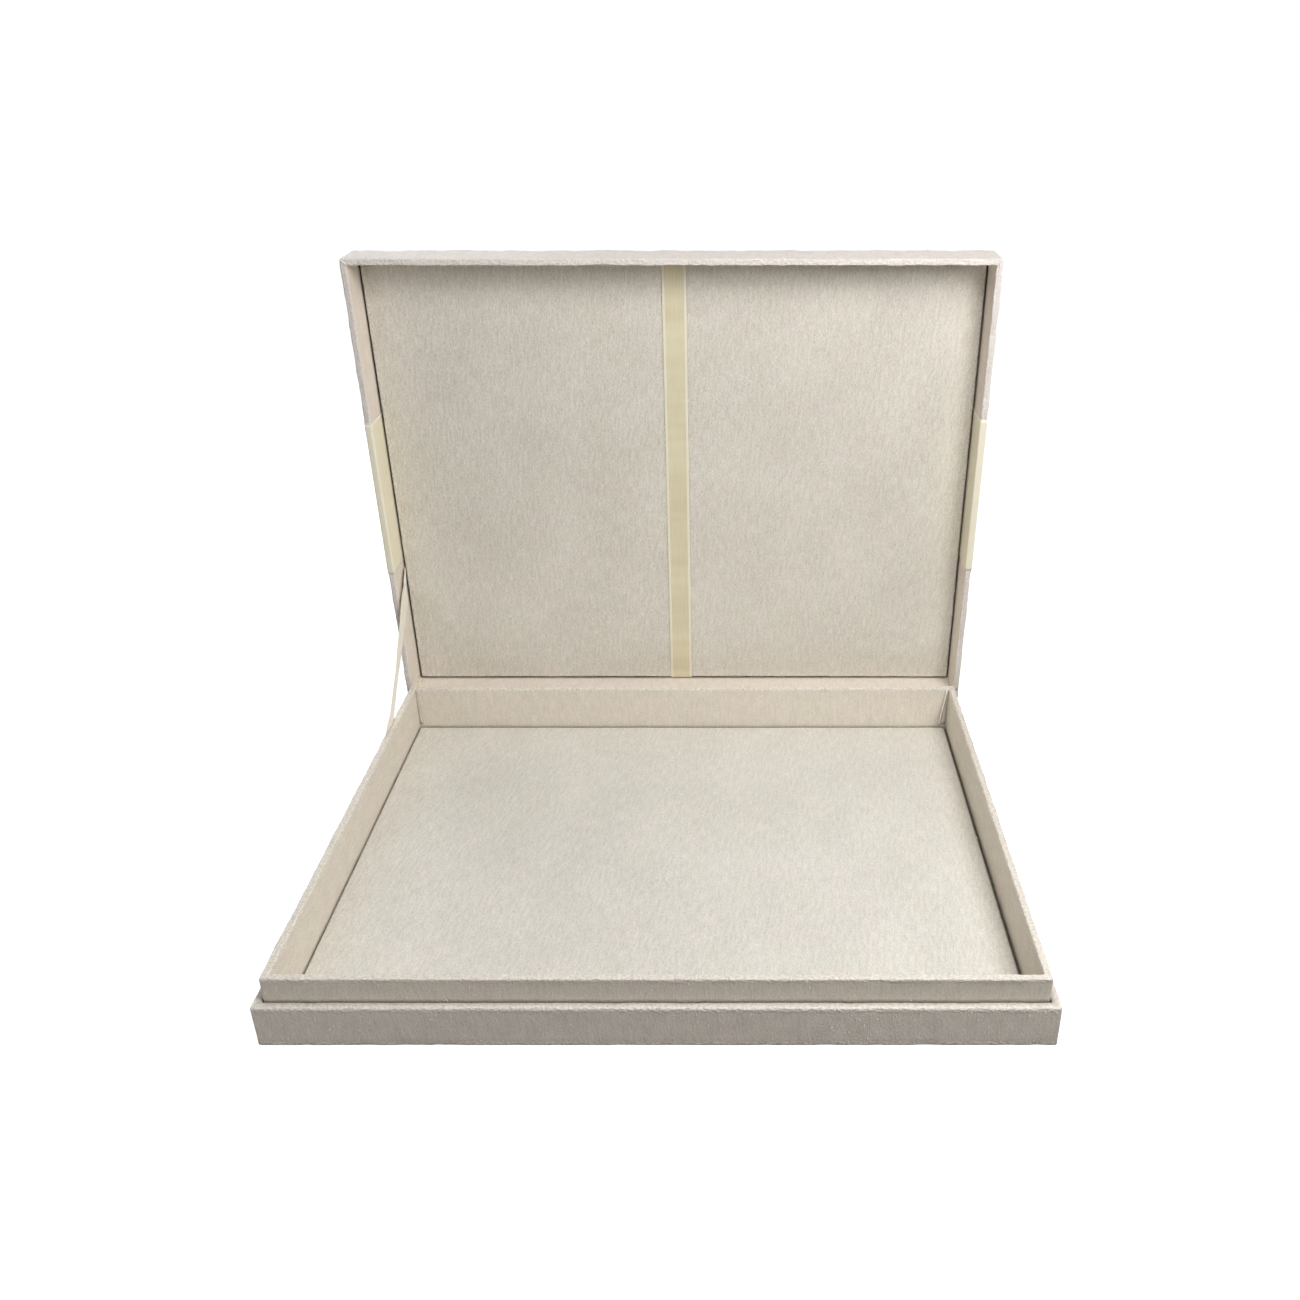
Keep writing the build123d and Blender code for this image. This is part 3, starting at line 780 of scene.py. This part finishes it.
def end_tree(tree, instances, material):
    """Every tree ends in real, smooth faces with their material on."""
    real = add(tree, "GeometryNodeRealizeInstances", {"Geometry": instances})
    smooth = add(tree, "GeometryNodeSetShadeSmooth", {"Geometry": real})
    dressed = add(tree, "GeometryNodeSetMaterial", {"Geometry": smooth, "Material": material})
    add(tree, "NodeGroupOutput", {"Geometry": dressed})


def grown(name, tree, source, values, body):
    """Runs a tree on a mesh and keeps the result as a plain piece."""
    carrier = add_object(name + "_carrier", source)
    modifier = carrier.modifiers.new("grow", "NODES")
    modifier.node_group = tree
    names = {item.name: item.identifier for item in tree.interface.items_tree if item.in_out == "INPUT"}
    for label, value in values.items():
        modifier[names[label]] = value
    settled = carrier.evaluated_get(bpy.context.evaluated_depsgraph_get())
    mesh = bpy.data.meshes.new_from_object(settled)
    bpy.data.objects.remove(carrier)
    mesh.name = name
    return finish_piece(name, mesh, body)


# slubs: short thick places in the weft yarn, strewn at random over the silk that faces one way
slubs, given = start_tree("slubs_in_the_weft", [
    ("Facing", "Vector"), ("Weft way", "Vector"), ("Slubs per square metre", "Float"), ("Seed", "Int"),
    ("Length", "Float"), ("Width", "Float"), ("Height", "Float"), ("Yarn", "Material"),
])
normal = add(slubs, "GeometryNodeInputNormal")
faces_out = add(slubs, "ShaderNodeVectorMath", {0: normal, 1: given["Facing"]}, operation="DOT_PRODUCT")
chosen = add(slubs, "FunctionNodeCompare", {0: faces_out, 1: 0.97}, operation="GREATER_THAN")
strewn = add(slubs, "GeometryNodeDistributePointsOnFaces", {
    "Mesh": given["Geometry"], "Selection": chosen,
    "Density": given["Slubs per square metre"], "Seed": given["Seed"],
})
laid = add(slubs, "FunctionNodeAlignRotationToVector", {
    "Rotation": strewn.outputs["Rotation"], "Vector": given["Weft way"],
}, axis="Y", pivot_axis="Z")
askew = add(slubs, "FunctionNodeRandomValue", {2: -0.45, 3: 0.45, "Seed": given["Seed"]}, data_type="FLOAT")
turn = add(slubs, "FunctionNodeAxisAngleToRotation", {"Axis": (0, 0, 1), "Angle": askew})
laid = add(slubs, "FunctionNodeRotateRotation", {"Rotation": laid, "Rotate By": turn}, rotation_space="LOCAL")
longer = add(slubs, "FunctionNodeRandomValue", {2: 0.35, 3: 1.0, "Seed": given["Seed"]}, data_type="FLOAT")
length = add(slubs, MATH, {0: given["Length"], 1: longer}, operation="MULTIPLY")
size = add(slubs, "ShaderNodeCombineXYZ", {"X": given["Width"], "Y": length, "Z": given["Height"]})
lump = add(slubs, "GeometryNodeMeshUVSphere", {"Segments": 6, "Rings": 5, "Radius": 0.5})
placed = add(slubs, "GeometryNodeInstanceOnPoints", {
    "Points": strewn.outputs["Points"], "Instance": lump, "Rotation": laid, "Scale": size,
})
end_tree(slubs, placed, given["Yarn"])


base_lean, lid_lean = radians(BASE_PAD_LEAN), radians(-LID_PAD_LEAN)
lid_out = AT_LID.to_3x3() @ Z_WAY
on_walls = (0.4, 0, 1)
for piece, name, facing, weft, density, seed, body, slot in (
    (base_pad, "base_pad_slubs", (0, 0, 1), (sin(base_lean), cos(base_lean), 0), 22000.0, 3,
     "base", "base_pad_silk"),
    (lid_pad, "lid_pad_slubs", tuple(-lid_out), (sin(lid_lean), 0, cos(lid_lean)), 22000.0, 5,
     "lid", "lid_pad_silk"),
    (lid_cover, "lid_top_slubs", tuple(lid_out), (0, 0, 1), 9000.0, 8, "lid", "cover_silk"),
    (base_cover, "base_front_slubs", (0, -1, 0), on_walls, 8000.0, 11, "base", "cover_silk"),
    (collar, "collar_front_slubs", (0, -1, 0), on_walls, 8000.0, 12, "base", "cover_silk"),
):
    grown(name, slubs, piece.data, {
        "Facing": facing, "Weft way": weft, "Slubs per square metre": density, "Seed": seed,
        "Length": 2.2 * MM, "Width": 0.42 * MM, "Height": 0.26 * MM, "Yarn": slub_yarn,
    }, body)

# selvedges: the weft turns round the outermost warp, and leaves a row of small rounded bumps
picks, given = start_tree("weft_turning_at_the_selvedge", [
    ("Spacing", "Float"), ("Length", "Float"), ("Width", "Float"), ("Satin", "Material"),
])
line = add(picks, "GeometryNodeMeshToCurve", {"Mesh": given["Geometry"]})
spaced = add(picks, "GeometryNodeResampleCurve", {"Curve": line, "Length": given["Spacing"]},
             mode="LENGTH")
tangent = add(picks, "GeometryNodeInputTangent")
along = add(picks, "FunctionNodeAlignRotationToVector", {"Vector": tangent}, axis="Y")
size = add(picks, "ShaderNodeCombineXYZ", {"X": given["Width"], "Y": given["Length"], "Z": given["Width"]})
bump = add(picks, "GeometryNodeMeshUVSphere", {"Segments": 6, "Rings": 4, "Radius": 0.5})
placed = add(picks, "GeometryNodeInstanceOnPoints", {
    "Points": spaced, "Instance": bump, "Rotation": along, "Scale": size,
})
end_tree(picks, placed, given["Satin"])


def selvedges(name, path, width, body):
    """Both woven edges of a ribbon, as bumps along its path."""
    mesh = bmesh.new()
    for edge in (-0.5, 0.5):
        spots = [mesh.verts.new(middle + side * width * edge) for middle, _, side in path]
        for a, b in zip(spots, spots[1:]):
            mesh.edges.new((a, b))
    mesh.transform(PLACES[body])
    mesh.transform(Matrix.Scale(MM, 4))
    line = bpy.data.meshes.new(name + "_line")
    mesh.to_mesh(line)
    mesh.free()
    return grown(name, picks, line, {
        "Spacing": 0.55 * MM, "Length": 0.75 * MM, "Width": 0.27 * MM, "Satin": selvedge_satin,
    }, body)


keeper_edges = selvedges("keeper_selvedges", keeper_path, NARROW, "lid")
band_edges = selvedges("band_selvedges", band_path, WIDE, "lid")
stay_edges = selvedges("stay_selvedges", stay_path, stay_width, None)
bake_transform(stay_edges)


# ---- Small things a maker leaves ----

def curve_through(points, steps=6):
    """Points on a smooth line through a few given ones."""
    out = []
    padded = [points[0] * 2 - points[1]] + points + [points[-1] * 2 - points[-2]]
    for a, b, c, d in zip(padded, padded[1:], padded[2:], padded[3:]):
        for k in range(steps):
            t = k / steps
            out.append(0.5 * ((2 * b) + (c - a) * t + (2 * a - 5 * b + 4 * c - d) * t * t
                              + (3 * b - a - 3 * c + d) * t ** 3))
    return out + [points[-1]]


def cord_skin(points, radius, bulge=0.0, sides=8):
    """A closed tube on a smooth line, for rolled cloth edges and loose threads. bulge thickens its middle."""
    path = curve_through([Vector(point) for point in points])
    mesh = bmesh.new()
    uv = mesh.loops.layers.uv.new("cloth")
    rings = []
    for i, point in enumerate(path):
        way = (path[min(i + 1, len(path) - 1)] - path[max(i - 1, 0)]).normalized()
        first = way.orthogonal().normalized()
        second = way.cross(first)
        reach = radius + bulge * sin(pi * (i / (len(path) - 1)) ** 0.8)
        rings.append([mesh.verts.new(point + (first * cos(a) + second * sin(a)) * reach)
                      for a in (2 * pi * k / sides for k in range(sides))])
    for i, (a, b) in enumerate(zip(rings, rings[1:])):
        for k in range(sides):
            face = mesh.faces.new((a[k], a[(k + 1) % sides], b[(k + 1) % sides], b[k]))
            for loop, spot in zip(face.loops, ((k, i), (k + 1, i), (k + 1, i + 1), (k, i + 1))):
                loop[uv].uv = (spot[0] * 0.3 * MM, spot[1] * 0.5 * MM)
    mesh.faces.new(rings[0])
    mesh.faces.new(rings[-1][::-1])
    return mesh


# the turned silk at the lid's front left corner, gathered into a small roll along the mitre, and its fold
# The roll is given the paler slub yarn rather than the lid's silk: painted highlight.
make_piece("lid_corner_roll", cord_skin((
    (-131.6, -101.6, 1.0), (-131.4, -101.4, 0.6), (-130.6, -100.8, 0.52), (-129.6, -99.9, 0.6),
    (-129.15, -99.25, 1.6), (-129.1, -99.15, 4.6),
), 0.2, bulge=0.2), slub_yarn, "lid")
make_piece("lid_corner_fold", cord_skin((
    (-131.8, -100.6, 1.2), (-131.5, -100.3, 0.42), (-130.6, -99.7, 0.4), (-129.5, -98.6, 0.6),
), 0.2), lid_cover_silk, "lid")

# silk laps a little way round the inside corners of the collar
inner_x, inner_y = HALF_X - CAVITY, HALF_Y - CAVITY
laps = bmesh.new()
lap_uv = laps.loops.layers.uv.new("cloth")
lap_low, lap_high, lap_steps = 6.4, COLLAR_TOP - 0.5, 11
for x_way, y_way, reach in ((1, 1, 2.9), (-1, 1, 1.5), (1, -1, 1.9), (-1, -1, 2.1)):
    rows = []
    for k in range(lap_steps + 1):
        z = lap_low + (lap_high - lap_low) * k / lap_steps
        edge = reach + 0.2 * sin(k * 1.3 + reach * 5) - (reach - 0.7) * k / lap_steps
        outline = ((edge, -0.05), (edge - 0.1, 0.3), (edge - 0.45, 0.34), (-0.05, 0.1), (-0.05, -0.05))
        rows.append([laps.verts.new((x_way * (inner_x - along), y_way * (inner_y - proud), z))
                     for along, proud in outline])
    for a, b in zip(rows, rows[1:]):
        for k in range(5):
            laps.faces.new((a[k], a[(k + 1) % 5], b[(k + 1) % 5], b[k]))
    laps.faces.new(rows[0])
    laps.faces.new(rows[-1][::-1])
for face in laps.faces:
    for loop in face.loops:
        loop[lap_uv].uv = (loop.vert.co.x * MM, loop.vert.co.z * MM)
make_piece("collar_corner_laps", laps, collar_cover_silk, "base")

# the lap's folded edge in the right rear corner stands proud, given the paler slub yarn: its pale line is painted
# highlight
make_piece("collar_corner_fold", cord_skin((
    (inner_x - 0.9, inner_y - 0.3, 25.3), (inner_x - 1.7, inner_y - 0.6, 20.0),
    (inner_x - 2.7, inner_y - 0.7, 13.0), (inner_x - 3.5, inner_y - 0.6, 6.8),
), 0.42), slub_yarn, "base")

# the silk's cut edge shows as a low step along the left and right rims, before and behind the wide ribbon
for side, start, stop in ((-1, -100.6, -34.4), (-1, 36.6, 97.0), (1, -100.6, -32.6), (1, 38.6, 97.0)):
    edge_path = []
    for k in range(40):
        y = start + (stop - start) * k / 39
        x = side * (130.9 + 0.16 * uneven(Vector((side * 7, y, 0)), 9.0, 71.0))
        edge_path.append((Vector((x, y, LID_RIM - 0.02)), -Z_WAY, X_WAY))
    make_piece("rim_lap_%s_%d" % ("left" if side < 0 else "right", 1 if start < 0 else 2),
               strip(edge_path, 0.9, 0.14, 0.04, 4), lid_cover_silk, "lid")

# dried glue at the hinge's left end: flattened, lumpy drops, by their place in the lid and their radius
specks = bmesh.new()
for i, (x, out, up, radius) in enumerate((
    (-129.0, 3.1, 4.0, 0.6), (-128.3, 2.9, 7.5, 0.42), (-128.9, 4.2, 10.5, 0.55), (-127.2, 2.75, 2.2, 0.4),
    (-128.0, 2.9, 12.6, 0.5), (-129.1, 5.6, 12.8, 0.42),
)):
    for spot in bmesh.ops.create_icosphere(specks, subdivisions=2, radius=radius)["verts"]:
        spot.co *= 1 + 0.35 * noise.noise(spot.co * 2.2 + X_WAY * i * 5)
        spot.co = (x + spot.co.x, HALF_Y - out + spot.co.y * 0.45, up + spot.co.z)
specks.loops.layers.uv.new("cloth")
make_piece("glue_specks", specks, dried_glue, "lid")

# a bit of thread caught on the ledge
make_piece("thread_end", cord_skin((
    (-69.6, -98.85, 16.4), (-69.1, -99.1, 17.0), (-68.6, -98.9, 17.5), (-68.3, -99.1, 17.0), (-68.1, -99.0, 16.5),
), 0.11, sides=6), slub_yarn, "base")

# ---- The CAD nodes that stay ----
finishes = {"card": bleached_card, "sheet": lining_paper}
for node_name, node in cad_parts.items():
    node.data.materials.clear()
    node.data.materials.append(finishes.get(node_name.split("_")[-1], greyboard))

# ---- Floor, light and camera ----
# The camera sees a white room. The light that falls on the box comes from a darker floor and four lamps.
material, tree = start_material("studio_floor")
dull = add(tree, "ShaderNodeBsdfDiffuse", {"Color": srgb("504E4B")})
bright = add(tree, "ShaderNodeBsdfDiffuse", {"Color": srgb("F4F4F4")})
lift = add(tree, "ShaderNodeEmission", {"Color": srgb("FFFFFF"), "Strength": 0.82})
white = add(tree, "ShaderNodeAddShader", {0: bright, 1: lift})
finish_material(material, add(tree, "ShaderNodeMixShader", {0: seen_directly(tree), 1: dull, 2: white}))
floor_mesh = bpy.data.meshes.new("studio_floor")
floor_mesh.from_pydata([(-4, -4, 0), (4, -4, 0), (4, 6, 0), (-4, 6, 0)], [], [(0, 1, 2, 3)])
floor_mesh.materials.append(material)
floor = add_object("studio_floor", floor_mesh)

world = bpy.data.worlds.new("studio")
scene.world = world
world.use_nodes = True
tree = world.node_tree
tree.nodes.clear()
soft = add(tree, "ShaderNodeBackground", {"Color": srgb("FFFDFA"), "Strength": 0.22})
shown = add(tree, "ShaderNodeBackground", {"Color": srgb("FFFFFF"), "Strength": 1.0})
both = add(tree, "ShaderNodeMixShader", {0: seen_directly(tree), 1: soft, 2: shown})
add(tree, "ShaderNodeOutputWorld", {"Surface": both})


def lamp(name, place, aim, size, watts, code):
    """A square soft box that faces a point."""
    light = bpy.data.lights.new(name, "AREA")
    light.size, light.energy, light.color = size, watts, srgb(code)[:3]
    box = add_object(name, light)
    box.location = place
    box.rotation_euler = (Vector(aim) - Vector(place)).to_track_quat("-Z", "Y").to_euler()


inside_box = (0.02, 0.02, 0.05)
lamp("key", (0.24, -0.18, 0.34), inside_box, 0.14, 0.64, "FFFDFB")
lamp("overhead", (0.15, -0.20, 0.50), inside_box, 0.18, 1.12, "FFFCF8")
lamp("low_left", (-0.35, -0.38, 0.12), inside_box, 0.20, 0.23, "FFFBFA")
lamp("behind", (-0.28, 0.58, 0.31), (0.0, 0.12, 0.10), 0.30, 1.4, "FFFDFB")

# the camera that was fitted to the photograph's edges, with its focal length and centre in pixels
photo_side, focal, centre_x, centre_y, tilt = 1300, 1167.79, 738.65, 645.29, 26.73
camera_data = bpy.data.cameras.new("camera")
camera = add_object("camera", camera_data)
camera_data.sensor_width = 36
camera_data.lens = focal / photo_side * camera_data.sensor_width
camera_data.shift_x = (photo_side / 2 - centre_x) / photo_side
camera_data.shift_y = (centre_y - photo_side / 2) / photo_side
camera_data.clip_start = 0.01
camera.location = (0.02672, -0.38712, 0.29186)
camera.rotation_euler = (radians(90 - tilt), 0, 0)
scene.camera = camera
scene.view_settings.view_transform = "Standard"
